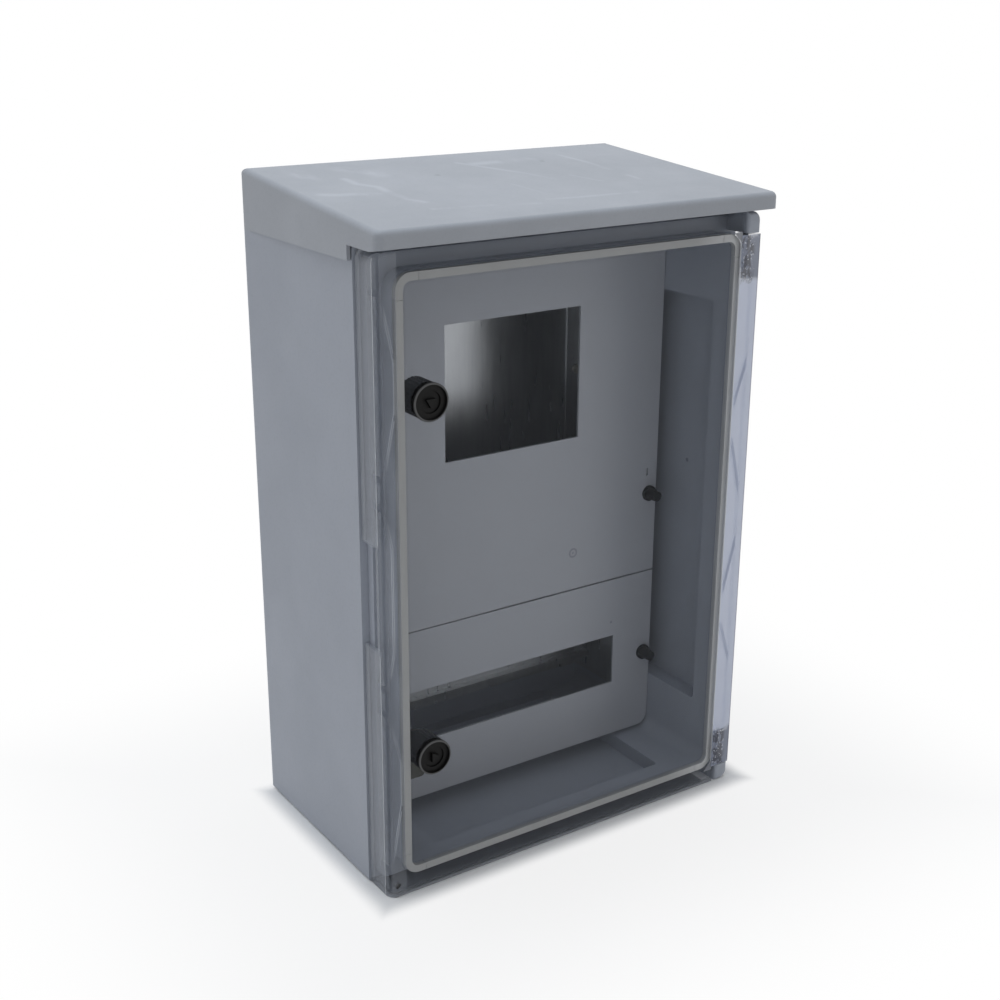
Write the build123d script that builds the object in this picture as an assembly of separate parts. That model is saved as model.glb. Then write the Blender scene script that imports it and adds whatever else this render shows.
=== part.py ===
from build123d import *
import math
import os

# Meter and distribution enclosure: a moulded grey box with a clear hinged door, a rain roof,
# two locks, two cover plates and the gear that carries them. Millimetres, +Z up, the door
# faces -Y. All pieces are drawn with Y = 0 on the front face of the door; save() moves them
# so that the origin lies on the floor under the middle of the whole box.

# Box moulding
width = 353.6
height = 510.0
depth = 208.0
outer_wall = 4.5
back_wall = 4.0
side_band = 20.0
floor_band = 17.5
head_band = 20.0
cavity_corner = 12.0
outer_corner = 3.0
rim_wall = 3.5
shoulder_front = 24.5
shoulder_wall = 4.0
body_front = 32.5

# Wells sunk in the inner faces of the four walls
well_back_margin = 18.0
side_well_depth = 15.5
side_well_low = 72.0
side_well_high_margin = 76.0
flange_well_margin = 58.5
well_corner = 3.0

# Clear door
door_side_step = 1.8
door_plate = 3.0
door_low = 0.3
door_top_gap = 1.0
door_top_corner = 8.0
door_foot_corner = 4.0
door_side_round = 9.0
door_bevel = 1.0
skirt_wall = 3.0
skirt_gap = 1.0
skirt_clearance = 1.5
finger_notch_low = 209.5
finger_notch_height = 83.5
finger_notch_front = 12.0
seal_slot_length = 5.0
seal_slot_width = 2.4
seal_slot_inset = 7.0
seal_slot_rise = 10.0

# Gasket and the channel that holds it
gasket_width = 6.0
gasket_depth = 4.5
gasket_hinge_inset = 2.2
gasket_foot_inset = 2.4
gasket_head_inset = 1.4
gasket_bend = 9.5
gasket_corner_leg = 6.0
gasket_joint = 0.5
channel_wall = 1.5
channel_depth = 4.0
channel_clearance = 0.1
seal_gap = 0.3

# Zigzag stiffeners in the side channels of the door
truss_wall = 1.5
truss_depth = 16.0
truss_root = 0.6
latch_truss_low = 18.0
latch_truss_top_margin = 25.0
latch_lower_flat = 82.0
latch_upper_flat_margin = 113.0
latch_flat_length = 35.0
grip_depth = 9.0
grip_run = 35.0
grip_seat = 13.0
hinge_truss_low = 115.0
hinge_truss_top_margin = 118.0
hinge_short_run = 42.0
hinge_flat_length = 24.0
hinge_long_run = 54.0

# Hinges
hinge_inset = 8.0
hinge_axis_depth = 9.0
lug_width = 14.0
lug_gap = 4.0
upper_lug_height = 17.0
lower_lug_height = 15.0
lug_corner = 8.0
lug_edge = 3.0
lug_play = 1.0
knuckle_radius = 6.0
knuckle_length = 32.0
pin_radius = 2.5
pin_clearance = 0.05
pin_in_knuckle = 28.0
pin_in_lug = 9.0
lug_sweep = 9.0

# Locks
lock_inset = 40.0
upper_lock_drop = 110.0
lower_lock_height = 116.0
lock_face_radius = 14.5
lock_face_thickness = 3.0
lock_face_edge = 0.8
lock_dish_radius = 12.8
lock_dish_depth = 2.0
lock_stem_radius = 11.0
lock_hole_clearance = 0.2
lock_length = 26.0
lock_back = 3.0
plug_radius = 8.5
plug_clearance = 0.08
plug_recess = 3.2
plug_spindle_radius = 4.0
key_post_radius = 4.6
key_post_inset = 0.6
nut_radius = 14.0
nut_length = 19.0
nut_ridges = 28
nut_ridge_depth = 0.5
cam_thickness = 3.0
cam_width = 18.0
cam_length = 33.5
cam_play = 0.5
cam_square = 5.0
cam_fit = 0.05
cam_screw_head_radius = 4.4
cam_screw_head_height = 2.4
cam_screw_radius = 1.6
cam_screw_length = 9.0
upper_cam_turn = -90.0
lower_cam_turn = 0.0

# Cover plates
cover_front = 91.0
cover_thickness = 2.0
cover_side_clearance = 0.8
cover_corner = 11.0
cover_edge_margin = 4.0
cover_split = 177.0
cover_split_gap = 1.6
window_width = 132.0
window_height = 112.6
window_low = 316.8
device_slot_width = 223.0
device_slot_height = 47.2
device_slot_low = 74.4
wire_seal_rise = 20.0
wire_seal_offset = 2.5
wire_seal_width = 2.2
wire_seal_height = 7.5

# Thumb screws
thumb_inset = 29.0
upper_thumb_height = 251.5
lower_thumb_height = 96.5
thumb_flange_radius = 7.0
thumb_flange_thickness = 2.4
thumb_knob_radius = 5.2
thumb_knob_length = 10.0
thumb_knob_taper = 0.6
thumb_shank_radius = 3.0
thumb_clearance = 0.06
thumb_ear_length = 12.0
thumb_ear_width = 2.2
thumb_ear_thickness = 2.0
thumb_ear_play = 0.3

# Folded supports behind the covers
support_sheet = 1.5
support_web_inset = 24.0
support_foot = 20.0
support_edge_gap = 1.0

# Mounting plate on the back wall
plate_thickness = 2.0
plate_standoff = 31.0
plate_side_margin = 22.0
plate_floor_margin = 40.0
plate_head_margin = 40.0
plate_corner = 6.0
plate_boss_radius = 7.0
plate_hole_inset = 14.0
plate_hole_offset = 60.0

# Rail for clip-on devices
rail_height = 35.0
rail_depth = 7.5
rail_sheet = 1.0
rail_mouth = 25.0
rail_side_gap = 12.0
rail_setback = 46.0
bracket_width = 18.0
bracket_sheet = 2.0
bracket_foot = 16.0
bracket_inset = 22.0

# Screws
screw_radius = 2.0
screw_head_radius = 4.0
screw_head_height = 2.6
screw_length = 9.0
slot_width = 1.0
slot_depth = 1.0

# Wall fixings
wall_hole_radius = 4.0
wall_hole_inset = 15.0
wall_hole_floor = 40.0

# Rain roof
roof_rise_back = 34.3
roof_rise_front = 15.6
roof_overhang = 11.5
roof_flare = 5.0
roof_wall = 3.0
roof_lip_rise = 2.8
roof_skirt_rise = 0.8
roof_overlap = 10.2
roof_overlap_back = 13.2
roof_fit = 0.3
roof_edge = 4.5
roof_corner = 6.0
roof_boss_radius = 6.0
roof_boss_front = 66.0
roof_boss_back = 40.0
roof_boss_offset = 90.0
roof_screw_length = 16.0

half = width / 2
door_width = width - 2 * door_side_step
door_half = door_width / 2
centre_depth = (depth - roof_overhang) / 2
skirt_depth = body_front - skirt_gap
cavity_half = door_half - side_band
cavity_low = floor_band
cavity_high = height - head_band
cavity_back = depth - back_wall
hinge_skirt_depth = door_plate + gasket_depth
rim_front = hinge_skirt_depth + seal_gap
well_front = shoulder_front + shoulder_wall
well_back = depth - well_back_margin
side_well_high = height - side_well_high_margin
door_high = height - door_top_gap
gasket_left = -cavity_half - rim_wall / 2
gasket_right = cavity_half + rim_wall / 2 - gasket_hinge_inset
gasket_low = cavity_low - rim_wall / 2 + gasket_foot_inset
gasket_high = cavity_high + rim_wall / 2 - gasket_head_inset
gasket_edge = gasket_width / 2 + channel_clearance
hinge_x = door_half - hinge_inset
lug_left = door_half - lug_width
notch_left = lug_left - lug_gap
upper_lug_low = height - upper_lug_height
upper_notch = upper_lug_low - lug_play
lower_notch = lower_lug_height + lug_play
lock_x = lock_inset - door_half
upper_lock_z = height - upper_lock_drop
cam_front = well_front + cam_play
cam_back = cam_front + cam_thickness
cover_half = cavity_half - cover_side_clearance
cover_back = cover_front + cover_thickness
upper_cover_low = cover_split + cover_split_gap / 2
upper_cover_high = cavity_high - cover_edge_margin
lower_cover_low = cavity_low + cover_edge_margin
lower_cover_high = cover_split - cover_split_gap / 2
thumb_x = door_half - thumb_inset
ear_front = cover_back + support_sheet + thumb_ear_play
ear_back = ear_front + thumb_ear_thickness
plate_back = cavity_back - plate_standoff
plate_front = plate_back - plate_thickness
plate_half = cavity_half - plate_side_margin
plate_low = cavity_low + plate_floor_margin
plate_high = cavity_high - plate_head_margin
support_web = cavity_half - support_web_inset
rail_z = device_slot_low + device_slot_height / 2
rail_front = cover_front + rail_setback
rail_back = rail_front + rail_depth
rail_half = support_web - rail_side_gap
bracket_x = rail_half - bracket_inset
wall_hole_x = cavity_half - wall_hole_inset
wall_hole_low = cavity_low + wall_hole_floor
wall_hole_high = cavity_high - wall_hole_floor
roof_top_slope = (roof_rise_back - roof_rise_front) / (depth + roof_overhang)

parts = {}


def save(name, *solids):
    """Keep the solids of one node, moved from the door's face to the origin of the box."""
    shift = Pos(0, -centre_depth, 0)
    placed = [shift * solid for part in solids for solid in part.solids()]
    parts[name] = placed[0] if len(placed) == 1 else Compound(children=placed)


def prism(sketch, front, back):
    """A sketch in X and Z, extruded from one depth to another."""
    return extrude(Plane.XZ.offset(-front) * sketch, amount=front - back)


def panel(x_low, x_high, z_low, z_high, corner=0.0):
    """A rectangle in X and Z between its edges, with rounded corners if asked for."""
    place = Pos((x_low + x_high) / 2, (z_low + z_high) / 2)
    if corner > 0:
        return place * RectangleRounded(x_high - x_low, z_high - z_low, corner)
    return place * Rectangle(x_high - x_low, z_high - z_low)


def block(x_low, x_high, front, back, z_low, z_high):
    """A plain block between its faces."""
    return prism(panel(x_low, x_high, z_low, z_high), front, back)


def disc(x, z, radius, front, back):
    """A round bar along Y."""
    return prism(Pos(x, z) * Circle(radius), front, back)


def upright(x, y, radius, low, high):
    """A round bar along Z."""
    return Pos(x, y, low) * Cylinder(radius, high - low, align=(Align.CENTER, Align.CENTER, Align.MIN))


def turned(profile, x, z):
    """A piece turned about an axis along Y, from points given as radius and depth."""
    outline = make_face(Polyline(*[(radius, reach) for radius, reach in profile], close=True))
    return Pos(x, 0, z) * revolve(outline, axis=Axis.Y)


def slotted_screw(x, z, seat, radius, length, head_radius, head_height):
    """A pan-head screw along +Y whose head sits on the depth seat, with a driver slot."""
    head = disc(x, z, head_radius, seat - head_height, seat)
    head -= block(x - head_radius, x + head_radius, seat - head_height, seat - head_height + slot_depth,
                  z - slot_width / 2, z + slot_width / 2)
    return head + disc(x, z, radius, seat, seat + length)


# Box moulding: an outer skin, a stepped mouth that the door closes over, and an inner
# cavity whose four walls are sunk between stiff borders.
def hinge_lug(z_low, z_high, round_top):
    """A block beside the door that holds a hinge pin, rounded at its free corner."""
    outline = panel(lug_left, door_half, z_low, z_high)
    row = outline.vertices().group_by(Axis.Y)[-1 if round_top else 0]
    outline = fillet(row.sort_by(Axis.X)[-1], lug_corner)
    lug = prism(outline, 0, body_front + outer_wall)
    left_edge = lug.edges().filter_by(Axis.Z).group_by(Axis.Y)[0]
    return fillet(left_edge, lug_edge)


def mouth_step():
    """The stepped rim: a shoulder that fits inside the door's skirt, then the sealing rim."""
    inset = skirt_wall + skirt_clearance
    shoulder = prism(panel(inset - door_half, door_half - inset, door_low + inset, door_high - inset,
                           door_top_corner), shoulder_front, body_front)
    rim = prism(panel(-cavity_half - rim_wall, cavity_half + rim_wall, cavity_low - rim_wall,
                      cavity_high + rim_wall, cavity_corner + rim_wall), rim_front, well_front)
    return shoulder + rim


def wall_wells():
    """Rectangular wells in the two sides, the floor and the head of the cavity."""
    wells = []
    for side in (-1, 1):
        inner = side * (cavity_half - cavity_corner)
        outer = side * (cavity_half + side_well_depth)
        well = block(min(inner, outer), max(inner, outer), well_front, well_back,
                     side_well_low, side_well_high)
        wells.append(fillet(well.edges().filter_by(Axis.X), well_corner))
    well_half = door_half - flange_well_margin
    floor_span = (outer_wall, cavity_low + cavity_corner)
    head_span = (cavity_high - cavity_corner, height - outer_wall)
    for low, high in (floor_span, head_span):
        well = block(-well_half, well_half, well_front, well_back, low, high)
        wells.append(fillet(well.edges().filter_by(Axis.Z), well_corner))
    return wells


def body_shell():
    skin = prism(panel(-half, half, 0, height, outer_corner), body_front, depth)
    skin -= roof_seat()
    skin += mouth_step()
    skin += hinge_lug(upper_lug_low, height, True)
    skin += hinge_lug(0, lower_lug_height, False)
    skin -= prism(panel(-cavity_half, cavity_half, cavity_low, cavity_high, cavity_corner),
                  rim_front, cavity_back)
    for well in wall_wells():
        skin -= well
    for x in (-wall_hole_x, wall_hole_x):
        for z in (wall_hole_low, wall_hole_high):
            skin -= disc(x, z, wall_hole_radius, cavity_back, depth)
    for x, z in plate_points():
        skin += disc(x, z, plate_boss_radius, plate_back, cavity_back)
        skin -= disc(x, z, screw_radius, plate_back, plate_front + screw_length + plate_thickness)
    for x, y in roof_points():
        skin -= upright(x, y, screw_radius, cavity_high, height)
    skin -= upright(hinge_x, hinge_axis_depth, pin_radius, upper_lug_low, upper_lug_low + pin_in_lug)
    skin -= upright(hinge_x, hinge_axis_depth, pin_radius, lower_lug_height - pin_in_lug, lower_lug_height)
    return skin


def roof_seat():
    """The step round the head of the box, behind the door, that the skirts of the roof hang over."""
    band = extrude(make_face(Plane.YZ * Polyline(
        (body_front, height), (depth, height), (depth, height - roof_overlap_back),
        (body_front, height - roof_overlap), close=True)), amount=half, both=True)
    return band - extrude(roof_plan(roof_wall + roof_fit), amount=height)


def plate_points():
    """Centres of the bosses and screws of the mounting plate."""
    rows = (plate_low + plate_hole_inset, plate_high - plate_hole_inset)
    return [(sign * plate_hole_offset, z) for sign in (-1, 1) for z in rows]


def roof_points():
    """Plan positions of the roof bosses and their screws."""
    rows = (roof_boss_front, depth - roof_boss_back)
    return [(sign * roof_boss_offset, y) for sign in (-1, 1) for y in rows]


# Rain roof: a thin hood with a sloping top, a front lip and side skirts that stop short of the door.
def roof_top(y):
    """Height of the sloping top of the hood at a depth."""
    return height + roof_rise_front + roof_top_slope * (y + roof_overhang)


def roof_side():
    """Side view of the hood in Y and Z: lip, sloping top, back, and side skirt with its front notch."""
    lip = height + roof_lip_rise
    notch = height + roof_skirt_rise
    return make_face(Plane.YZ * Polyline(
        (-roof_overhang, lip), (-roof_overhang, roof_top(-roof_overhang)), (depth, roof_top(depth)),
        (depth, height - roof_overlap_back), (body_front, height - roof_overlap), (body_front, notch),
        (0, notch), close=True))


def roof_hollow():
    """Side view of the space under the hood, open below."""
    front = roof_wall - roof_overhang
    back = depth - roof_wall
    floor = height - roof_overlap_back - roof_wall
    return make_face(Plane.YZ * Polyline(
        (front, floor), (front, roof_top(front) - roof_wall), (back, roof_top(back) - roof_wall),
        (back, floor), close=True))


def roof_plan(inset):
    """Plan view of the hood, flush with the box at the back and a little wider at the front."""
    back_half = half - inset
    front_half = half + roof_flare - inset
    outline = make_face(Polyline((-back_half, depth - inset), (-front_half, inset - roof_overhang),
                                 (front_half, inset - roof_overhang), (back_half, depth - inset), close=True))
    front_corners = outline.vertices().group_by(Axis.Y)[0]
    return fillet(front_corners, roof_corner - inset)


def roof_front_wall():
    """The wall across the hood that stands on the front edge of the box, behind the brim."""
    return Pos(0, body_front + roof_wall / 2, height) * Box(
        width + 2 * roof_flare, roof_wall, roof_rise_back, align=(Align.CENTER, Align.CENTER, Align.MIN))


def rain_roof():
    reach = half + roof_flare
    tall = height + roof_rise_back
    hood = extrude(roof_side(), amount=reach, both=True)
    hood &= extrude(roof_plan(0), amount=tall)
    rim = hood.faces().filter_by(lambda face: face.normal_at().Z > 0.9).sort_by(Axis.Z)[-1].edges()
    hood = fillet(rim, roof_edge)
    hollow = extrude(roof_hollow(), amount=reach, both=True)
    hollow &= extrude(roof_plan(roof_wall), amount=tall)
    hood -= hollow - roof_front_wall()
    for x, y in roof_points():
        hood += upright(x, y, roof_boss_radius, height, roof_top(y) - roof_wall / 2)
        hood -= upright(x, y, screw_radius, height, height + roof_screw_length - outer_wall)
    return hood


def roof_screws():
    """Screws driven up from the head well of the box into the roof bosses."""
    screws = []
    seat = height - outer_wall
    for x, y in roof_points():
        head = upright(x, y, screw_head_radius, seat - screw_head_height, seat)
        head -= Pos(x, y, seat - screw_head_height) * Box(
            2 * screw_head_radius, slot_width, slot_depth, align=(Align.CENTER, Align.CENTER, Align.MIN))
        screws.append(head + upright(x, y, screw_radius, seat, seat + roof_screw_length))
    return screws


# Mounting plate, supports and device rail
def mounting_plate():
    outline = panel(-plate_half, plate_half, plate_low, plate_high, plate_corner)
    plate = prism(outline, plate_front, plate_back)
    for x, z in plate_points():
        plate -= disc(x, z, screw_radius, plate_front, plate_back)
    for x, z in support_points() + bracket_points():
        plate -= disc(x, z, screw_radius, plate_front, plate_back)
    return plate


def support_points():
    """Screws that hold the support feet, left side first."""
    x = support_web - support_foot / 2
    rise = (plate_high - plate_low) / 4
    return [(sign * x, z) for sign in (-1, 1) for z in (plate_low + rise, plate_high - rise)]


def bracket_points():
    """Screws that hold the rail bracket feet."""
    rise = rail_height / 2 + bracket_foot / 2
    return [(sign * bracket_x, rail_z + offset) for sign in (-1, 1) for offset in (-rise, rise)]


def cover_support(side):
    """A folded strip: a foot on the mounting plate, a web, and a front flange for the covers."""
    flange = cavity_half - support_edge_gap
    outline = make_face(Polyline(
        (support_web - support_foot, plate_front), (support_web, plate_front),
        (support_web, cover_back + support_sheet), (flange, cover_back + support_sheet),
        (flange, cover_back), (support_web - support_sheet, cover_back),
        (support_web - support_sheet, plate_front - support_sheet),
        (support_web - support_foot, plate_front - support_sheet), close=True))
    strip = Pos(0, 0, plate_low) * extrude(outline, amount=plate_high - plate_low)
    for z in (upper_thumb_height, lower_thumb_height):
        strip -= disc(thumb_x, z, thumb_shank_radius + thumb_clearance,
                      cover_back, cover_back + support_sheet)
        key_half = thumb_ear_length / 2 + thumb_ear_play
        key_rise = thumb_ear_width / 2 + thumb_ear_play
        strip -= block(thumb_x - key_rise, thumb_x + key_rise, cover_back, cover_back + support_sheet,
                       z - key_half, z + key_half)
    for x, z in support_points():
        strip -= disc(abs(x), z, screw_radius, plate_front - support_sheet, plate_front)
    return strip if side > 0 else mirror(strip, about=Plane.YZ)


def device_rail():
    """Top-hat rail, open to the back, that modular devices clip to."""
    mouth = rail_mouth / 2
    edge = rail_height / 2
    sheet = rail_sheet
    outline = make_face(Polyline(
        (rail_front, edge), (rail_front, mouth - sheet), (rail_back - sheet, mouth - sheet),
        (rail_back - sheet, sheet - mouth), (rail_front, sheet - mouth), (rail_front, -edge),
        (rail_front + sheet, -edge), (rail_front + sheet, -mouth), (rail_back, -mouth),
        (rail_back, mouth), (rail_front + sheet, mouth), (rail_front + sheet, edge), close=True))
    rail = Pos(0, 0, rail_z) * extrude(Plane.YZ * outline, amount=rail_half, both=True)
    for sign in (-1, 1):
        rail -= disc(sign * bracket_x, rail_z, screw_radius, rail_back - sheet, rail_back)
    return rail


def rail_brackets():
    """Two bridges that lift the device rail off the mounting plate."""
    edge = rail_height / 2
    foot = edge + bracket_foot
    sheet = bracket_sheet
    outline = make_face(Polyline(
        (rail_back, edge), (rail_back, -edge), (plate_front - sheet, -edge), (plate_front - sheet, -foot),
        (plate_front, -foot), (plate_front, sheet - edge), (rail_back + sheet, sheet - edge),
        (rail_back + sheet, edge - sheet), (plate_front, edge - sheet), (plate_front, foot),
        (plate_front - sheet, foot), (plate_front - sheet, edge), close=True))
    bridge = Pos(0, 0, rail_z) * extrude(Plane.YZ * outline, amount=bracket_width / 2, both=True)
    brackets = [Pos(sign * bracket_x, 0, 0) * bridge for sign in (-1, 1)]
    for x, z in bracket_points():
        brackets = [item - disc(x, z, screw_radius, plate_front - sheet, plate_front) for item in brackets]
    return [item - disc(sign * bracket_x, rail_z, screw_radius, rail_back, rail_back + sheet)
            for sign, item in zip((-1, 1), brackets)]


def pan_screws(points, seat, length):
    """Like screws at a list of points."""
    return [slotted_screw(x, z, seat, screw_radius, length, screw_head_radius, screw_head_height)
            for x, z in points]


# Cover plates and their thumb screws
def cover_plate(z_low, z_high, rounded_row, thumb_height):
    """A flat cover across the cavity, its outer corners rounded to the moulding."""
    outline = panel(-cover_half, cover_half, z_low, z_high)
    outline = fillet(outline.vertices().group_by(Axis.Y)[rounded_row], cover_corner)
    plate = prism(outline, cover_front, cover_back)
    for x in (-thumb_x, thumb_x):
        plate -= disc(x, thumb_height, thumb_shank_radius + thumb_clearance, cover_front, cover_back)
    return plate


def upper_cover():
    plate = cover_plate(upper_cover_low, upper_cover_high, -1, upper_thumb_height)
    plate -= block(-window_width / 2, window_width / 2, cover_front, cover_back,
                   window_low, window_low + window_height)
    for sign in (-1, 1):
        slit = Pos(sign * (thumb_x - wire_seal_offset), upper_thumb_height + wire_seal_rise)
        plate -= prism(slit * SlotOverall(wire_seal_height, wire_seal_width, rotation=90),
                       cover_front, cover_back)
    return plate


def lower_cover():
    plate = cover_plate(lower_cover_low, lower_cover_high, 0, lower_thumb_height)
    return plate - block(-device_slot_width / 2, device_slot_width / 2, cover_front, cover_back,
                         device_slot_low, device_slot_low + device_slot_height)


def thumb_screw(x, z):
    """A captive quarter-turn screw: tapered knob, flange, shank and a cross ear at its tip."""
    seat = cover_front
    flange = seat - thumb_flange_thickness
    knob = flange - thumb_knob_length
    tip = thumb_knob_radius - thumb_knob_taper
    body = turned([(0, knob), (tip, knob), (thumb_knob_radius, flange), (thumb_flange_radius, flange),
                   (thumb_flange_radius, seat), (thumb_shank_radius, seat), (thumb_shank_radius, ear_back),
                   (0, ear_back)], x, z)
    return body + block(x - thumb_ear_length / 2, x + thumb_ear_length / 2, ear_front, ear_back,
                        z - thumb_ear_width / 2, z + thumb_ear_width / 2)


# Clear door: a moulded tray with deep skirts on three sides, a channel for the gasket,
# zigzag stiffeners beside it, hinge knuckles and holes for the locks.
def door_outline(inset):
    """Front view of the door, cut away beside the two hinge lugs."""
    sheet = panel(inset - door_half, door_half - inset, door_low + inset, door_high - inset)
    foot, top = sheet.vertices().group_by(Axis.X)[0].sort_by(Axis.Y)
    sheet = fillet(foot, door_foot_corner - inset)
    sheet = fillet(top, door_top_corner - inset)
    sheet -= panel(notch_left - inset, door_half, upper_notch - inset, height)
    return sheet - panel(notch_left - inset, door_half, 0, lower_notch + inset)


def door_plan(inset):
    """Plan of the door, its lock side rounded from the front into the skirt."""
    side = door_half - inset
    outline = make_face(Polyline((-side, inset), (side, inset), (side, skirt_depth), (-side, skirt_depth),
                                 close=True))
    front_corner = outline.vertices().group_by(Axis.Y)[0].sort_by(Axis.X)[0]
    return extrude(fillet(front_corner, door_side_round - inset), amount=height)


def door_bevels():
    """Side view of the door with its front edges bevelled along the foot and the head, as a solid."""
    return extrude(make_face(Plane.YZ * Polyline(
        (0, door_low + door_bevel), (door_bevel, door_low), (skirt_depth, door_low), (skirt_depth, door_high),
        (door_bevel, door_high), (0, door_high - door_bevel), close=True)), amount=door_half, both=True)


def gasket_ring(offset):
    """A rounded ring line of the seal, moved outwards by offset."""
    return panel(gasket_left - offset, gasket_right + offset, gasket_low - offset, gasket_high + offset,
                 gasket_bend + offset)


def gasket_channel():
    """Two ribs behind the door plate that hold the gasket between them."""
    ring = gasket_ring(gasket_edge + channel_wall) - gasket_ring(gasket_edge)
    ring += gasket_ring(-gasket_edge) - gasket_ring(-gasket_edge - channel_wall)
    return prism(ring, door_plate, door_plate + channel_depth)


def truss(points, reach):
    """A thin web along a bent line, standing behind the door plate."""
    return prism(trace(Polyline(*points), line_width=truss_wall), door_plate, reach)


def latch_truss(skirt, rib):
    """The web on the lock side: it runs from the skirt to the seal and back, and round the finger grip."""
    grip = door_half - grip_depth
    grip_low = finger_notch_low
    grip_high = finger_notch_low + finger_notch_height
    upper_flat = door_high - latch_upper_flat_margin
    return truss([(-skirt, latch_truss_low), (-rib, latch_lower_flat),
                  (-rib, latch_lower_flat + latch_flat_length), (-skirt, grip_low - grip_run - grip_seat),
                  (-skirt, grip_low - grip_run), (-grip, grip_low), (-grip, grip_high),
                  (-skirt, grip_high + grip_run), (-skirt, grip_high + grip_run + grip_seat),
                  (-rib, upper_flat), (-rib, upper_flat + latch_flat_length),
                  (-skirt, door_high - latch_truss_top_margin)], door_plate + truss_depth)


def hinge_truss(skirt, rib, start, step):
    """One V of web on the hinge side, drawn away from start, its short arm first."""
    foot = start + step * hinge_short_run
    bend = foot + step * hinge_flat_length
    return truss([(skirt, start), (rib, foot), (rib, bend), (skirt, bend + step * hinge_long_run)],
                 hinge_skirt_depth)


def door_trusses():
    """The webs in the channels between the seal and the skirts."""
    rib = gasket_edge + channel_wall + truss_wall / 2 - truss_root
    skirt = door_half - skirt_wall + truss_root
    webs = latch_truss(skirt, rib - gasket_left)
    webs += hinge_truss(skirt, gasket_right + rib, hinge_truss_low, 1)
    return webs + hinge_truss(skirt, gasket_right + rib, door_high - hinge_truss_top_margin, -1)


def hinge_knuckles():
    """Tubes on the door edge that turn on the hinge pins, each with a web to the door plate."""
    knuckles = []
    for low in (lower_notch, upper_notch - knuckle_length):
        tube = upright(hinge_x, hinge_axis_depth, knuckle_radius, low, low + knuckle_length)
        tube += block(hinge_x - knuckle_radius, hinge_x + knuckle_radius, door_plate, hinge_axis_depth,
                      low, low + knuckle_length)
        knuckles.append(tube)
    return knuckles


def door_panel():
    blank = prism(door_outline(0), 0, skirt_depth) & door_plan(0) & door_bevels()
    door = blank - (prism(door_outline(skirt_wall), door_plate, skirt_depth) & door_plan(skirt_wall))
    door -= prism(gasket_ring(gasket_edge), door_plate, skirt_depth)
    door -= block(notch_left - lug_sweep, door_half, hinge_skirt_depth, skirt_depth, 0, height)
    for low, high in ((upper_notch, height), (0, lower_notch)):
        door -= block(notch_left - lug_sweep, door_half, door_plate, skirt_depth, low, high)
    door -= block(-door_half, skirt_wall - door_half, finger_notch_front, skirt_depth,
                  finger_notch_low, finger_notch_low + finger_notch_height)
    door += gasket_channel()
    door += door_trusses() & blank
    for knuckle in hinge_knuckles():
        door += knuckle
    bore = pin_radius + pin_clearance
    door -= upright(hinge_x, hinge_axis_depth, bore, lower_notch, lower_notch + pin_in_knuckle)
    door -= upright(hinge_x, hinge_axis_depth, bore, upper_notch - pin_in_knuckle, upper_notch)
    for z in (upper_lock_z, lower_lock_height):
        door -= disc(lock_x, z, lock_stem_radius + lock_hole_clearance, 0, door_plate)
    slit = Pos(seal_slot_inset - door_half, door_low + seal_slot_rise)
    return door - prism(slit * SlotOverall(seal_slot_length, seal_slot_width, rotation=45), 0, door_plate)


def hinge_pin(low, high):
    """A plain pin with a small bevel at both ends."""
    pin = upright(hinge_x, hinge_axis_depth, pin_radius, low, high)
    return chamfer(pin.edges().filter_by(GeomType.CIRCLE), pin_radius / 4)


# Gasket: four moulded corners and four cut lengths, laid in the door channel.
def gasket_pieces():
    seal = gasket_width / 2
    ring = prism(gasket_ring(seal) - gasket_ring(-seal), door_plate, door_plate + gasket_depth)
    turn = gasket_bend + gasket_corner_leg
    left, right = gasket_left + turn, gasket_right - turn
    low, high = gasket_low + turn, gasket_high - turn
    tall = prism(panel(-half, half, low, high), door_plate, door_plate + gasket_depth)
    wide = prism(panel(left, right, 0, height), door_plate, door_plate + gasket_depth)
    tall_gap = prism(panel(-half, half, low - gasket_joint, high + gasket_joint), 0, skirt_depth)
    wide_gap = prism(panel(left - gasket_joint, right + gasket_joint, 0, height), 0, skirt_depth)
    lengths = ring & (tall + wide)
    corners = ring - tall_gap - wide_gap
    return lengths, corners


# Locks
def lock_barrel(z):
    """The fixed lock body: a round face on the door, and a stem through it with a stepped bore."""
    bore = plug_radius + plug_clearance
    spindle = plug_spindle_radius + plug_clearance
    face = -lock_face_thickness
    dish = face + lock_dish_depth
    return turned([(bore, dish), (lock_dish_radius, dish), (lock_dish_radius, face),
                   (lock_face_radius - lock_face_edge, face),
                   (lock_face_radius, face + lock_face_edge), (lock_face_radius, 0), (lock_stem_radius, 0),
                   (lock_stem_radius, lock_length), (spindle, lock_length),
                   (spindle, lock_length - lock_back), (bore, lock_length - lock_back)], lock_x, z)


def lock_nut(z):
    """The ridged sleeve nut that clamps the lock from inside the door."""
    nut = disc(lock_x, z, nut_radius, door_plate, door_plate + nut_length)
    groove_half = math.pi * nut_radius / nut_ridges / 2
    groove = block(lock_x - groove_half, lock_x + groove_half, door_plate, door_plate + nut_length,
                   z + nut_radius - nut_ridge_depth, z + nut_radius + nut_ridge_depth)
    axis = Axis((lock_x, 0, z), (0, 1, 0))
    nut -= [groove.rotate(axis, 360 * step / nut_ridges) for step in range(nut_ridges)]
    return nut - disc(lock_x, z, lock_stem_radius, door_plate, door_plate + nut_length)


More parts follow.
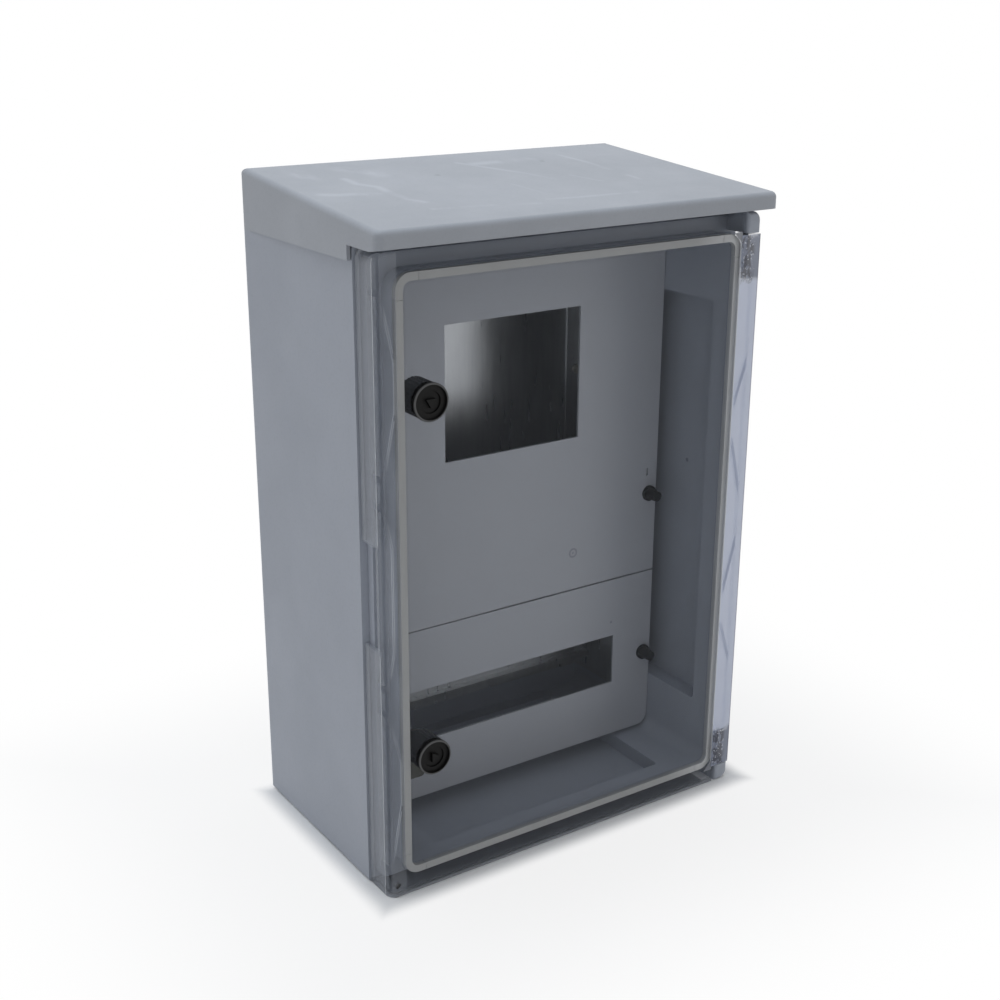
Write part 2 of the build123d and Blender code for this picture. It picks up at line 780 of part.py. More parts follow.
def lock_plug(z, turn):
    """The turning core: a round plug with a three-sided key post and a square-ended spindle."""
    face = plug_recess - lock_face_thickness
    shoulder = lock_length - lock_back - plug_clearance
    plug = turned([(0, face), (plug_radius, face), (plug_radius, shoulder), (plug_spindle_radius, shoulder),
                   (plug_spindle_radius, cam_front), (0, cam_front)], lock_x, z)
    post = Pos(lock_x, z) * RegularPolygon(key_post_radius, 3)
    plug += prism(post, key_post_inset - lock_face_thickness, face)
    square = Pos(lock_x, z) * Rectangle(cam_square, cam_square)
    plug += prism(square, cam_front, cam_back)
    plug -= disc(lock_x, z, cam_screw_radius, cam_back - cam_screw_length, cam_back)
    return turn_lock(plug, z, turn)


def lock_cam(z, turn):
    """The flat arm that swings behind the well's front edge to hold the door shut."""
    arm = panel(-cam_width / 2, cam_width / 2, -cam_length, cam_width / 2)
    arm = fillet(arm.vertices().group_by(Axis.Y)[-1], cam_width / 2 - cam_fit)
    arm = fillet(arm.vertices().group_by(Axis.Y)[0], cam_width / 6)
    cam = Pos(lock_x, 0, z) * prism(arm, cam_front, cam_back)
    cam -= prism(Pos(lock_x, z) * Rectangle(cam_square + 2 * cam_fit, cam_square + 2 * cam_fit),
                 cam_front, cam_back)
    return turn_lock(cam, z, turn)


def cam_screw(z, turn):
    """The screw that clamps the cam to the spindle."""
    length = cam_screw_length - cam_thickness / 2
    screw = slotted_screw(0, 0, 0, cam_screw_radius, length, cam_screw_head_radius, cam_screw_head_height)
    screw = Pos(lock_x, cam_back, z) * Rot(180, 0, 0) * screw
    return turn_lock(screw, z, turn)


def turn_lock(piece, z, turn):
    """Turn a lock piece about the lock's own axis, from cam down towards cam right."""
    return piece.rotate(Axis((lock_x, 0, z), (0, -1, 0)), turn)


save("body_shell", body_shell())
save("rain_roof", rain_roof())
save("roof_screws", *roof_screws())
save("mounting_plate", mounting_plate())
save("mounting_plate_screws", *pan_screws(plate_points(), plate_front, screw_length))
save("cover_support_left", cover_support(-1))
save("cover_support_right", cover_support(1))
save("support_screws", *pan_screws(support_points(), plate_front - support_sheet, screw_length))
save("device_rail", device_rail())
save("rail_brackets", *rail_brackets())
save("bracket_screws", *pan_screws(bracket_points(), plate_front - bracket_sheet, screw_length))
rail_points = [(-bracket_x, rail_z), (bracket_x, rail_z)]
save("rail_screws", *pan_screws(rail_points, rail_back - rail_sheet, screw_length))
save("upper_cover", upper_cover())
save("lower_cover", lower_cover())
for row, thumb_z in (("upper", upper_thumb_height), ("lower", lower_thumb_height)):
    save(f"{row}_left_thumb_screw", thumb_screw(-thumb_x, thumb_z))
    save(f"{row}_right_thumb_screw", thumb_screw(thumb_x, thumb_z))
save("door_panel", door_panel())
gasket_lengths, gasket_corners = gasket_pieces()
save("gasket_lengths", gasket_lengths)
save("gasket_corners", gasket_corners)
save("upper_hinge_pin", hinge_pin(upper_notch - pin_in_knuckle, upper_lug_low + pin_in_lug))
save("lower_hinge_pin", hinge_pin(lower_lug_height - pin_in_lug, lower_notch + pin_in_knuckle))
locks = (("upper", upper_lock_z, upper_cam_turn), ("lower", lower_lock_height, lower_cam_turn))
for row, lock_z, cam_turn in locks:
    save(f"{row}_lock_barrel", lock_barrel(lock_z))
    save(f"{row}_lock_nut", lock_nut(lock_z))
    save(f"{row}_lock_plug", lock_plug(lock_z, cam_turn))
    save(f"{row}_lock_cam", lock_cam(lock_z, cam_turn))
    save(f"{row}_cam_screw", cam_screw(lock_z, cam_turn))

os.makedirs("parts", exist_ok=True)
for name, solid in parts.items():
    export_step(solid, f"parts/{name}.step")
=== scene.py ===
import math

import bmesh
import bpy
from mathutils import Matrix, Vector


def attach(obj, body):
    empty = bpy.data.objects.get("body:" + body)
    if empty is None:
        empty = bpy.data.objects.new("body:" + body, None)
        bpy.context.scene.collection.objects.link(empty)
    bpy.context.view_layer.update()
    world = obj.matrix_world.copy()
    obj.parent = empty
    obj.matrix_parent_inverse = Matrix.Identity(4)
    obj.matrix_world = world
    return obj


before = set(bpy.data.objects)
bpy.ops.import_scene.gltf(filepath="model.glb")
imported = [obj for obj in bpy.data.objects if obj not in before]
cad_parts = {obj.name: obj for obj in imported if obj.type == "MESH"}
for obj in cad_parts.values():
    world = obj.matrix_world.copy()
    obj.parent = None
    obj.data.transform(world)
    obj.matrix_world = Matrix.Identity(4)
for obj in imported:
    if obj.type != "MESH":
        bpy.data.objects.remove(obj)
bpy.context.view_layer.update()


# Box: one deep grey moulding of filled plastic. Its skin has the fine grain of the mould,
# the resin's flow leaves it a little cloudy, and a gate mark shows in the right-hand well.
class Signal:
    """A value on its way through a material; sums written on it add the Math nodes."""

    def __init__(self, finish, socket):
        self.finish = finish
        self.socket = socket

    def maths(self, operation, *terms):
        return self.finish.node("ShaderNodeMath", {"operation": operation}, dict(enumerate(terms)))

    def __add__(self, other):
        return self.maths("ADD", self, other)

    def __radd__(self, other):
        return self.maths("ADD", other, self)

    def __sub__(self, other):
        return self.maths("SUBTRACT", self, other)

    def __rsub__(self, other):
        return self.maths("SUBTRACT", other, self)

    def __mul__(self, other):
        return self.maths("MULTIPLY", self, other)

    def __rmul__(self, other):
        return self.maths("MULTIPLY", other, self)

    def __truediv__(self, other):
        return self.maths("DIVIDE", self, other)

    def __abs__(self):
        return self.maths("ABSOLUTE", self)

    def most(self, other):
        return self.maths("MAXIMUM", self, other)

    def least(self, other):
        return self.maths("MINIMUM", self, other)

    def rise(self, low, high):
        """0 below low, 1 above high, and a smooth climb between."""
        return self.finish.node("ShaderNodeMapRange", {"interpolation_type": "SMOOTHSTEP"},
                                {"Value": self, "From Min": low, "From Max": high})


class Nodes:
    """The shader nodes of a material or of the world."""

    def __init__(self, owner):
        owner.use_nodes = True
        self.tree = owner.node_tree

    def node(self, kind, settings, sockets, output=0):
        made = self.tree.nodes.new(kind)
        for name, value in settings.items():
            setattr(made, name, value)
        for name, value in sockets.items():
            self.feed(made.inputs[name], value)
        return Signal(self, made.outputs[output])

    def feed(self, socket, value):
        if isinstance(value, Signal):
            self.tree.links.new(value.socket, socket)
        else:
            socket.default_value = value

    def looked_at(self):
        """1 for what the eye meets, straight, mirrored or through glass; 0 for light on its way."""
        camera, mirror, glass = (self.node("ShaderNodeLightPath", {}, {}, f"Is {way} Ray")
                                 for way in ("Camera", "Glossy", "Transmission"))
        return camera.most(mirror).most(glass)


class Finish(Nodes):
    """A material round one Principled shader, placed by the object's own metres."""

    def __init__(self, name):
        self.material = bpy.data.materials.new(name)
        super().__init__(self.material)
        self.shader = self.tree.nodes["Principled BSDF"]
        self.place = self.node("ShaderNodeTexCoord", {}, {}, "Object")

    def set(self, **values):
        for name, value in values.items():
            self.feed(self.shader.inputs[name.replace("_", " ")], value)

    def vector(self, operation, first, second, output=0):
        return self.node("ShaderNodeVectorMath", {"operation": operation}, {0: first, 1: second}, output)

    def axis(self, letter):
        return self.node("ShaderNodeSeparateXYZ", {}, {"Vector": self.place}, letter)

    def facing(self, letter):
        """How far the surface is turned along one axis, whichever way it looks."""
        normal = self.node("ShaderNodeTexCoord", {}, {}, "Normal")
        return abs(self.node("ShaderNodeSeparateXYZ", {}, {"Vector": normal}, letter))

    def away(self, point, seen):
        """Distance from a point; an axis that seen holds at nought doesn't count."""
        gap = self.vector("MULTIPLY", self.vector("SUBTRACT", self.place, point), seen)
        return self.node("ShaderNodeVectorMath", {"operation": "LENGTH"}, {0: gap}, "Value")

    def noise(self, scale, detail=2.0, stretch=(1, 1, 1)):
        return self.node("ShaderNodeTexNoise", {}, {"Vector": self.vector("MULTIPLY", self.place, stretch),
                                                    "Scale": scale, "Detail": detail})

    def tint(self, amount, plain, marked):
        return self.node("ShaderNodeMix", {"data_type": "RGBA"}, {0: amount, 6: plain, 7: marked}, 2)

    def bump(self, height, strength, distance):
        return self.node("ShaderNodeBump", {},
                         {"Strength": strength, "Distance": distance, "Height": height})

    def cover(self, *nodes):
        for name in nodes:
            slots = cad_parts[name].data.materials
            slots.clear()
            slots.append(self.material)


def shade(red, green, blue):
    """A colour given as it looks on a screen, from 0 to 255, turned into light."""
    light = []
    for part in (red, green, blue):
        part /= 255
        light.append(part / 12.92 if part <= 0.04045 else ((part + 0.055) / 1.055) ** 2.4)
    return (*light, 1.0)


def moulded(name, deep, pale, roughness):
    """Moulded plastic with a fine grain and an uneven sheen; gives the finish and its cloudy colour."""
    finish = Finish(name)
    cloud = finish.noise(9.0, 3.0).rise(0.35, 0.65)
    speck = finish.noise(420.0, 2.0).rise(0.45, 0.8)
    finish.set(Roughness=roughness + 0.12 * (finish.noise(60.0) - 0.5), Specular_IOR_Level=0.35,
               Normal=finish.bump(finish.noise(1500.0, 2.0), 0.12, 0.0003))
    return finish, finish.tint(speck * 0.08, finish.tint(cloud, deep, pale), shade(108, 112, 118))


box_finish, box_tone = moulded("box_plastic", shade(161, 166, 176), shade(166, 171, 181), 0.5)
gate_mark = 1 - box_finish.away((0.1705, -0.0288, 0.284), (1, 1, 1)).rise(0.0012, 0.0026)
box_finish.set(Base_Color=box_finish.tint(gate_mark * 0.5, box_tone, shade(70, 73, 78)))
box_finish.cover("body_shell")

# Shoulder lips: the thin side walls of the box's shoulder beside the two side wells, moulded with
# the box. Each is a flat lip with rounded ends and a row of small ribs on its hidden side.
lip_low, lip_high, lip_front, lip_back = 0.0715, 0.4345, -0.0701, -0.0654
lip_face, lip_wall, lip_rib, lip_round = 0.17045, 0.0007, 0.0004, 0.001
rib_count, rib_first, rib_pitch, rib_height = 9, 0.018, 0.040, 0.003
for name, side in (("left_shoulder_lip", -1), ("right_shoulder_lip", 1)):
    lip = bmesh.new()
    spans = [(lip_low, lip_high, 0.0, lip_wall)]
    for step in range(rib_count):
        rib_low = lip_low + rib_first + rib_pitch * step
        spans.append((rib_low, rib_low + rib_height, lip_wall, lip_wall + lip_rib))
    for low, high, near, far in spans:
        rim = [(lip_front, low + lip_round), (lip_front + lip_round, low),
               (lip_back - lip_round, low), (lip_back, low + lip_round),
               (lip_back, high - lip_round), (lip_back - lip_round, high),
               (lip_front + lip_round, high), (lip_front, high - lip_round)]
        outer, inner = ([lip.verts.new((side * (lip_face - reach), y, z)) for y, z in rim]
                        for reach in (near, far))
        lip.faces.new(outer)
        lip.faces.new(inner[::-1])
        for first in range(len(rim)):
            second = (first + 1) % len(rim)
            lip.faces.new((outer[first], inner[first], inner[second], outer[second]))
    bmesh.ops.recalc_face_normals(lip, faces=lip.faces)
    lip_mesh = bpy.data.meshes.new(name)
    lip.to_mesh(lip_mesh)
    lip.free()
    lip_mesh.materials.append(box_finish.material)
    lip_piece = bpy.data.objects.new(name, lip_mesh)
    bpy.context.scene.collection.objects.link(lip_piece)
    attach(lip_piece, "enclosure")

# Mounting plate, cover supports and device rail: folded and punched steel sheet, plated with
# zinc. The plating is bright but blurred, with faint rolling lines along the sheet.
plating = Finish("zinc_plating")
rolling = plating.noise(40.0, 3.0, (6, 6, 0.6))
plating.set(Base_Color=plating.tint(rolling, shade(150, 152, 155), shade(176, 178, 180)),
            Roughness=0.22 + 0.16 * rolling,
            Normal=plating.bump(plating.noise(700.0), 0.05, 0.0002))
plating.set(Metallic=1.0)
plating.cover("mounting_plate", "cover_support_left", "cover_support_right", "device_rail", "rail_brackets")

# Small steel: the screws behind the covers and under the roof and the cam screws, all turned
# and zinc plated with a slightly yellow passivated skin.
small_steel = Finish("plated_fasteners")
blotch = small_steel.noise(220.0, 3.0)
small_steel.set(Base_Color=small_steel.tint(blotch, shade(158, 156, 148), shade(190, 188, 178)),
                Roughness=0.3 + 0.15 * blotch)
small_steel.set(Metallic=1.0)
small_steel.cover("roof_screws", "mounting_plate_screws", "support_screws", "bracket_screws", "rail_screws",
                  "upper_cam_screw", "lower_cam_screw")

# Hinge pins: drawn steel wire, greased and dull. Each is pressed into a lug of the box and
# turns in a knuckle of the door.
pin_finish = Finish("greased_pins")
grease = pin_finish.noise(260.0, 3.0, (1, 1, 0.4))
pin_finish.set(Base_Color=pin_finish.tint(grease, shade(58, 60, 64), shade(104, 107, 113)),
               Roughness=0.35 + 0.25 * grease)
pin_finish.set(Metallic=0.5)
pin_finish.cover("upper_hinge_pin", "lower_hinge_pin")

# Cover plates: flat grey plastic sheet, cut to the cavity. The upper one has a round mark left
# by handling, the lower one a small nick beside the device slot.
sheet_finish = Finish("cover_sheet")
front_view = (1, 0, 1)
ring_reach = sheet_finish.away((0.0637, 0, 0.2117), front_view)
ring_mark = 1 - abs(ring_reach - 0.0036).rise(0.0004, 0.0013)
ring_mark = ring_mark.most(1 - ring_reach.rise(0.0006, 0.0015))
nick = 1 - sheet_finish.away((0.1084, 0, 0.135), front_view).rise(0.0008, 0.0018)
sheet_cloud = sheet_finish.noise(14.0, 3.0)
sheet_tone = sheet_finish.tint(sheet_cloud, shade(172, 174, 180), shade(179, 181, 186))
cover_marks = (ring_mark * 0.42).most(nick * 0.45)
sheet_finish.set(Base_Color=sheet_finish.tint(cover_marks, sheet_tone, shade(96, 98, 104)),
                 Roughness=0.48 + 0.1 * sheet_finish.noise(30.0),
                 Normal=sheet_finish.bump(sheet_finish.noise(900.0), 0.06, 0.0002))
sheet_finish.cover("upper_cover", "lower_cover")

# Thumb screws and lock cores: moulded in black glass-filled plastic, satin, with pale dust in the
# grain. The screws stay in their covers; the cores turn in the lock bodies.
def blackened(name):
    """Black plastic; gives the finish and its dusty colour."""
    finish = Finish(name)
    dust = finish.noise(350.0, 3.0).rise(0.55, 0.8)
    finish.set(Roughness=0.5 + 0.1 * dust, Normal=finish.bump(finish.noise(1200.0), 0.08, 0.0002),
               Specular_IOR_Level=0.15)
    return finish, finish.tint(dust * 0.2, shade(14, 14, 14), shade(48, 48, 48))


knob_finish, knob_tone = blackened("black_plastic")
knob_finish.set(Base_Color=knob_tone)
knob_finish.cover("upper_left_thumb_screw", "upper_right_thumb_screw", "lower_left_thumb_screw",
                  "lower_right_thumb_screw", "upper_lock_plug", "lower_lock_plug")

# Lock bodies: the same black plastic, cut as a barrel with a ridged sleeve nut behind the door.
# The ridges of the nut are rubbed grey, and the raised rim of the face has a painted highlight, a thin pale
# ring.
lock_finish, lock_tone = blackened("lock_plastic")
lock_side, lock_middle, lock_spread = -0.135, 0.258, 0.142
lock_depth = lock_finish.axis("Y")
lock_up = abs(lock_finish.axis("Z") - lock_middle) - lock_spread
lock_across = lock_finish.axis("X") - lock_side
lock_square = lock_across * lock_across + lock_up * lock_up
lock_reach = lock_square.maths("SQRT", lock_square)
# Painted highlight: a thin pale ring on the raised rim of the lock face.
rim_highlight = lock_reach.rise(0.0129, 0.0133) * (1 - lock_depth.rise(-0.1010, -0.0998))
sleeve = lock_depth.rise(-0.0950, -0.0945)
ridge_wear = lock_reach.rise(0.01365, 0.0139) * sleeve
sleeve_tone = lock_finish.tint((sleeve * 0.35).most(ridge_wear * 0.45), lock_tone, shade(84, 86, 90))
lock_finish.set(Base_Color=lock_finish.tint(rim_highlight * 0.6, sleeve_tone, shade(120, 120, 120)))
lock_finish.cover("upper_lock_barrel", "lower_lock_barrel", "upper_lock_nut", "lower_lock_nut")

# Lock cams: stamped steel arms with a dark plating, each held on its core by a screw. They
# catch behind the edge of the box's side well.
cam_finish = Finish("dark_plated_steel")
cam_wear = cam_finish.noise(160.0, 3.0)
cam_finish.set(Base_Color=cam_finish.tint(cam_wear, shade(46, 46, 42), shade(66, 65, 58)),
               Roughness=0.4 + 0.15 * cam_wear)
cam_finish.set(Metallic=0.6)
cam_finish.cover("upper_lock_cam", "lower_lock_cam")

# Rain roof: a thin grey hood. Its top is scuffed: pale rubbed smears, a few long faint lines
# and two dark specks, each given on the roof in metres from the middle of the box.
roof_finish, roof_tone = moulded("roof_plastic", shade(160, 164, 171), shade(166, 170, 177), 0.46)
top_view = (1, 1, 0)


def stroke(finish, *points):
    """Distance, seen from above, from a line through the points."""
    reach = None
    for start, end in zip(points, points[1:]):
        start, run = Vector((*start, 0)), Vector((*end, 0)) - Vector((*start, 0))
        gap = finish.vector("MULTIPLY", finish.vector("SUBTRACT", finish.place, start), top_view)
        along = finish.vector("DOT_PRODUCT", gap, run / run.length_squared, "Value").least(1.0).most(0.0)
        foot = finish.node("ShaderNodeVectorMath", {"operation": "SCALE"}, {0: run, "Scale": along})
        length = finish.node("ShaderNodeVectorMath", {"operation": "LENGTH"},
                             {0: finish.vector("SUBTRACT", gap, foot)}, "Value")
        reach = length if reach is None else reach.least(length)
    return reach


def scuff(width, *points):
    """A soft pale smear along a line, strongest in its middle."""
    return 1 - stroke(roof_finish, *points).rise(0.0, width)


rub_grain = roof_finish.noise(45.0, 4.0, (1, 0.5, 0.2)).rise(0.3, 0.62)
smears = scuff(0.012, (-0.146, 0.084), (-0.146, 0.054))
smears = smears.most(scuff(0.014, (-0.106, 0.080), (-0.092, 0.067), (-0.088, 0.050)))
smears = smears.most(scuff(0.008, (-0.164, 0.003), (-0.151, -0.002), (-0.137, -0.004), (-0.124, -0.008)))
smears = smears.most(scuff(0.006, (-0.121, 0.046), (-0.121, 0.027), (-0.111, 0.012), (-0.112, -0.009),
                           (-0.111, -0.030), (-0.105, -0.043)))
smears = smears.most(scuff(0.010, (0.007, 0.063), (0.063, 0.066)))
lines = scuff(0.0045, (-0.004, 0.071), (0.011, 0.045), (0.026, 0.019), (0.038, -0.009))
lines = lines.most(scuff(0.0045, (0.099, 0.072), (0.105, 0.035), (0.104, 0.009)))
lines = lines.most(scuff(0.0045, (0.104, -0.016), (0.103, -0.032)))
lines = lines.most(scuff(0.003, (0.058, 0.0), (0.069, -0.028)))
lines = lines.most(scuff(0.002, (-0.007, -0.013), (-0.002, -0.049)) * 0.6)
lines = lines.most(scuff(0.0045, (-0.110, -0.065), (-0.061, -0.069), (-0.025, -0.076)))
lines = lines.most(scuff(0.0045, (-0.012, -0.067), (0.014, -0.069), (0.069, -0.070)))
specks = 1 - roof_finish.away((-0.045, 0.035, 0), top_view).rise(0.0010, 0.0034)
specks = specks.most(1 - roof_finish.away((0.069, 0.055, 0), top_view).rise(0.0010, 0.0034))
rubbing = (smears * rub_grain * 0.32).most(lines * rub_grain * 0.26)
rubbed = roof_finish.tint(rubbing, roof_tone, shade(205, 209, 216))
roof_finish.set(Base_Color=roof_finish.tint(specks * 0.3, rubbed, shade(92, 96, 102)))
roof_finish.cover("rain_roof")

# Seal: grey foam rubber, four straight lengths and four moulded corners glued into the door's
# channel. Towards the hinge side its colour is painted paler, painted light standing in for the light that
# side gets.
seal_finish = Finish("seal_rubber")
pores = seal_finish.noise(900.0, 2.0)
# Painted light: towards the hinge side the seal's colour is painted paler.
hinge_side_light = seal_finish.axis("X").rise(0.10, 0.155)
mottle = seal_finish.noise(50.0, 3.0)
plain_seal_tone = seal_finish.tint(mottle, shade(168, 168, 167), shade(176, 176, 174))
lit_seal_tone = seal_finish.tint(mottle, shade(204, 204, 203), shade(212, 212, 211))
seal_finish.set(Base_Color=seal_finish.tint(hinge_side_light, plain_seal_tone, lit_seal_tone), Roughness=0.75 + 0.1 * pores,
                Normal=seal_finish.bump(pores, 0.2, 0.0004))
seal_finish.cover("gasket_lengths", "gasket_corners")

# Glue film: the thin tape that holds the seal to the door, pressed into the clear plate. It is cut
# like the seal, a strip for each length and a bent piece for each corner, with open joints.
film_left, film_right, film_low, film_high = -0.15675, 0.15455, 0.01815, 0.49035
film_half, film_bend, film_leg, film_joint = 0.003, 0.0095, 0.006, 0.0005
film_front, film_back = -0.09531, -0.09526
film_rim = [(film_half, film_front), (-film_half, film_front),
            (-film_half, film_back), (film_half, film_back)]
bend_steps = 10
strips = []
inset = film_bend + film_leg + film_joint
for edge, side in ((film_left, -1), (film_right, 1)):
    strips.append([(edge, z, side, 0) for z in (film_low + inset, film_high - inset)])
    for level, up in ((film_low, -1), (film_high, 1)):
        middle_x, middle_z = edge - side * film_bend, level - up * film_bend
        bent = [(edge, middle_z - up * film_leg, side, 0)]
        for step in range(bend_steps + 1):
            angle = math.radians(90 / bend_steps * step)
            out_x, out_z = side * math.cos(angle), up * math.sin(angle)
            bent.append((middle_x + film_bend * out_x, middle_z + film_bend * out_z, out_x, out_z))
        bent.append((middle_x - side * film_leg, level, 0, up))
        strips.append(bent)
for level, up in ((film_low, -1), (film_high, 1)):
    strips.append([(x, level, 0, up) for x in (film_left + inset, film_right - inset)])
film = bmesh.new()
for strip in strips:
    rows = []
    for x, z, out_x, out_z in strip:
        rows.append([film.verts.new((x + reach * out_x, y, z + reach * out_z)) for reach, y in film_rim])
    for near, far in zip(rows, rows[1:]):
        for first in range(len(film_rim)):
            second = (first + 1) % len(film_rim)
            film.faces.new((near[first], near[second], far[second], far[first]))
    film.faces.new(rows[0])
    film.faces.new(rows[-1])
bmesh.ops.recalc_face_normals(film, faces=film.faces)
film_mesh = bpy.data.meshes.new("seal_film")
film.to_mesh(film_mesh)
film.free()
film_mesh.materials.append(seal_finish.material)
film_piece = bpy.data.objects.new("seal_film", film_mesh)
bpy.context.scene.collection.objects.link(film_piece)
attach(film_piece, "door")

# Door: one clear polycarbonate moulding. The flat front is clear with a little dust; the skirts,
# the sawn ends, the webs and the strip beside the hinges are cloudy, as thick clear plastic is.
door_finish = Finish("clear_door")
door_x, door_y, door_z = (door_finish.axis(letter) for letter in "XYZ")
front_face = (-0.0977 - door_y).rise(0.0, 0.0003)
upright_faces = 1 - door_finish.facing("Y").rise(0.2, 0.5)
dust = door_finish.noise(30.0, 4.0).rise(0.5, 0.8)
web_root = -0.0946
lock_skirt = (-0.1714 - door_x).rise(0.0, 0.0003) * door_y.rise(-0.0900, -0.0893)
lock_channel = (-0.1600 - door_x).rise(0.0, 0.0010) * (1 - door_y.rise(-0.0955, -0.0953))
lock_webs = upright_faces * (1 - abs(door_x + 0.1666).rise(0.0044, 0.0047))
web_roots = lock_webs * (1 - abs(door_y - web_root).rise(0.0003, 0.0008))
foot_skirt = (0.0038 - door_z).rise(0.0, 0.0003)
skirt_ends = door_y.rise(-0.0671, -0.0669)
slot_middle = (-0.168, 0, 0.0103)
slot_walls = upright_faces * (1 - door_finish.away(slot_middle, front_view).rise(0.0034, 0.0038))
slot_walls = slot_walls * (1 - door_y.rise(-0.0953, -0.0951))
haze = (0.025 + 0.012 * dust).most(upright_faces * 0.07).most(lock_skirt * 0.30).most(lock_channel * 0.19)
haze = haze.most(lock_webs * 0.12).most(web_roots * 0.75).most(foot_skirt * 0.45).most(skirt_ends * 0.85)

door_middle = 0.254
door_up = abs(door_z - door_middle)
below_notch = 1 - door_up.rise(0.2375, 0.2385)
past_seal = door_x.rise(0.1551, 0.1556)
hinge_strip = past_seal * below_notch
hinge_webs = upright_faces * (1 - abs(door_x - 0.1660).rise(0.0052, 0.0055))
hinge_webs = hinge_webs * (1 - abs(door_y - web_root).rise(0.0006, 0.0012))
seal_shadow = door_x.rise(0.1537, 0.1541) * (1 - past_seal) * front_face * below_notch
hinge_corner = (door_x + door_up).rise(0.3866, 0.3882) * (1 - door_x.rise(0.1556, 0.1562)) * front_face
hinge_corner = hinge_corner * (1 - door_up.rise(0.2400, 0.2415))
knuckle_gap = abs(door_up - 0.220) + 0.010 * (door_finish.noise(130.0, 2.0) - 0.5)
knuckles = (1 - knuckle_gap.rise(0.0150, 0.0210)) * door_x.rise(0.1545, 0.1570) * front_face * below_notch
knuckle_middle = 1 - abs(door_x - 0.1615).rise(0.0050, 0.0100)
# Painted reflection: the squiggles stand in for the pins seen bent through the clear knuckles, and the
# glints are painted highlights.
squiggles = door_finish.noise(330.0, 3.0, (1, 1, 0.5)).rise(0.42, 0.54) * knuckles * knuckle_middle
painted_glints = door_finish.noise(520.0, 2.0).rise(0.60, 0.68) * knuckles * knuckle_middle
haze = haze.most(front_face * hinge_strip * 0.80).most(seal_shadow * 0.85).most(hinge_webs * 0.85)
haze = haze.most(knuckles * 0.95).most(hinge_corner * 0.97).most(slot_walls * 0.95)
parting_line = (1 - abs(door_y + 0.0893).rise(0.0002, 0.0007)) * (-0.1738 - door_x).rise(0.0, 0.0005)
parting_line = parting_line * abs(door_z - 0.2515).rise(0.041, 0.044)
right_skirt_shade = door_x.rise(0.1738, 0.1744)
cloud = door_finish.noise(40.0)
cloudy = door_finish.tint(cloud, shade(180, 184, 192), shade(190, 194, 201))
strip_tone = door_finish.tint(cloud, shade(167, 177, 204), shade(177, 187, 214))
cloudy = door_finish.tint(hinge_strip, cloudy, strip_tone)
# The webs are cloudy where they meet the plate, and their near-white colour there is partly a painted
# highlight.
cloudy = door_finish.tint(web_roots, cloudy, shade(235, 238, 243))
# Painted shade: the outer edge of the right-hand skirt is painted darker.
cloudy = door_finish.tint(right_skirt_shade * 0.5, cloudy, shade(96, 100, 110))
# Painted shade: the foot of the door and the strip beside the seal are painted darker, standing in for
# shade seen through them.
cloudy = door_finish.tint(foot_skirt.most(seal_shadow * 0.7) * 0.6, cloudy, shade(96, 100, 108))
# Painted shade at the hinges: the clear knuckles, the webs beside them and the door's corner under the roof
# are painted dark, then the painted squiggles and painted glints go over them.
hinge_painted_shade = (knuckles * 0.65).most(hinge_webs).most(hinge_corner * 0.75)
cloudy = door_finish.tint(hinge_painted_shade, cloudy, shade(72, 77, 90))
cloudy = door_finish.tint(squiggles * 0.9, cloudy, shade(36, 42, 60))
cloudy = door_finish.tint(painted_glints * 0.8, cloudy, shade(226, 231, 242))
# Painted shade: the walls of the slot low in the door are painted near black.
cloudy = door_finish.tint(slot_walls, cloudy, shade(30, 31, 34))
gloss = door_finish.node("ShaderNodeFresnel", {}, {"IOR": 1.38})
outside = 1 - door_finish.node("ShaderNodeNewGeometry", {}, {}, "Backfacing")
door_finish.set(Base_Color=door_finish.tint(parting_line, cloudy, shade(232, 235, 240)),
                Roughness=0.10 + 0.06 * door_finish.noise(25.0))
through = door_finish.node("ShaderNodeBsdfTransparent", {}, {"Color": (0.955, 0.960, 0.967, 1.0)})
door_finish.feed(door_finish.tree.nodes["Material Output"].inputs["Surface"],
                 door_finish.node("ShaderNodeMixShader", {}, {
                     0: haze.most(gloss * outside).most(parting_line * 0.6), 1: through,
                     2: Signal(door_finish, door_finish.shader.outputs[0])}))
door_finish.cover("door_panel")

# Studio: a pale floor under the box that keeps its shadow and fades into the white beyond, and
# soft lamps over it, to its left and in front.
floor_half = 6.0
floor_mesh = bpy.data.meshes.new("floor")
floor_mesh.from_pydata([(-floor_half, -floor_half, 0), (floor_half, -floor_half, 0),
                        (floor_half, floor_half, 0), (-floor_half, floor_half, 0)], [], [(0, 1, 2, 3)])
floor = bpy.data.objects.new("floor", floor_mesh)
bpy.context.scene.collection.objects.link(floor)
floor_finish = Finish("pale_floor")
floor_tone = floor_finish.tint(floor_finish.noise(3.0), (0.88, 0.88, 0.88, 1), (0.90, 0.90, 0.90, 1))
floor_finish.set(Base_Color=floor_tone, Roughness=0.9)
floor_gap = (abs(floor_finish.axis("X")) - 0.178).most(abs(floor_finish.axis("Y")) - 0.100)
whiteness = 0.80 * floor_gap.rise(0.0, 0.02) + 0.20 * floor_gap.rise(0.05, 0.30)
white_light = floor_finish.node("ShaderNodeEmission", {}, {"Color": (1, 1, 1, 1), "Strength": 1.0})
floor_finish.feed(floor_finish.tree.nodes["Material Output"].inputs["Surface"],
                  floor_finish.node("ShaderNodeMixShader", {}, {
                      0: floor_finish.looked_at() * whiteness,
                      1: Signal(floor_finish, floor_finish.shader.outputs[0]), 2: white_light}))
floor_mesh.materials.append(floor_finish.material)


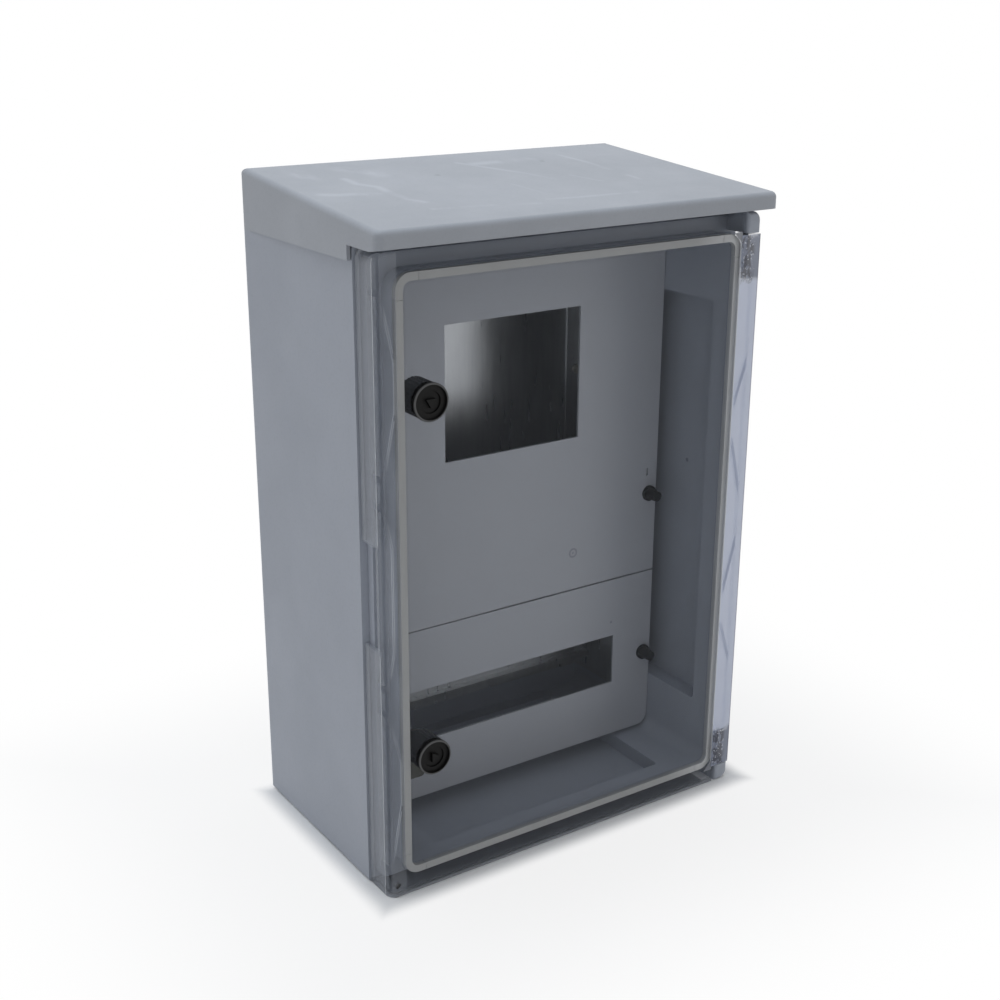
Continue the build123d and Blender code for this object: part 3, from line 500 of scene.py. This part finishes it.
def lamp(name, place, aim, size, power, colour):
    """A square soft box that faces a point."""
    light = bpy.data.lights.new(name, "AREA")
    light.shape = "SQUARE"
    light.size = size
    light.energy = power
    light.color = colour
    stand = bpy.data.objects.new(name, light)
    stand.location = place
    stand.rotation_euler = (Vector(aim) - Vector(place)).to_track_quat("-Z", "Y").to_euler()
    bpy.context.scene.collection.objects.link(stand)


box_middle = (0.0, 0.0, 0.26)
lamp("over_lamp", (-0.2, 0.2, 2.2), box_middle, 1.6, 20.5, (0.84, 0.915, 1.0))
lamp("left_lamp", (-2.4, 0.6, 0.4), box_middle, 1.0, 3.3, (1.0, 1.0, 1.0))
lamp("right_lamp", (1.5, -2.2, 0.5), box_middle, 1.0, 4.0, (1.0, 0.97, 0.93))

world = bpy.data.worlds.new("studio")
bpy.context.scene.world = world
sky = Nodes(world)
room_light = sky.node("ShaderNodeBackground", {}, {"Color": (0.985, 0.99, 1.0, 1.0), "Strength": 0.40})
white_wall = sky.node("ShaderNodeBackground", {}, {"Color": (1.0, 1.0, 1.0, 1.0), "Strength": 1.0})
sky.feed(sky.tree.nodes["World Output"].inputs["Surface"],
         sky.node("ShaderNodeMixShader", {}, {0: sky.looked_at(), 1: room_light, 2: white_wall}))

# Camera: to the left of the box and a little above it, as the photograph was taken. Its place,
# turn and lens come from a fit to the corners of the box.
camera_place = (-0.66263, -0.97202, 0.68808)
camera_heading = -33.95
camera_tilt = 90 - 19.536
camera_roll = 0.328
camera_lens = 53.653
camera_data = bpy.data.cameras.new("camera")
camera_data.sensor_width = 36.0
camera_data.lens = camera_lens
camera = bpy.data.objects.new("camera", camera_data)
bpy.context.scene.collection.objects.link(camera)
heading = Matrix.Rotation(math.radians(camera_heading), 4, "Z")
tilt = Matrix.Rotation(math.radians(camera_tilt), 4, "X")
roll = Matrix.Rotation(math.radians(camera_roll), 4, "Z")
camera.matrix_world = Matrix.Translation(camera_place) @ heading @ tilt @ roll
bpy.context.scene.camera = camera
bpy.context.scene.view_settings.view_transform = "Standard"
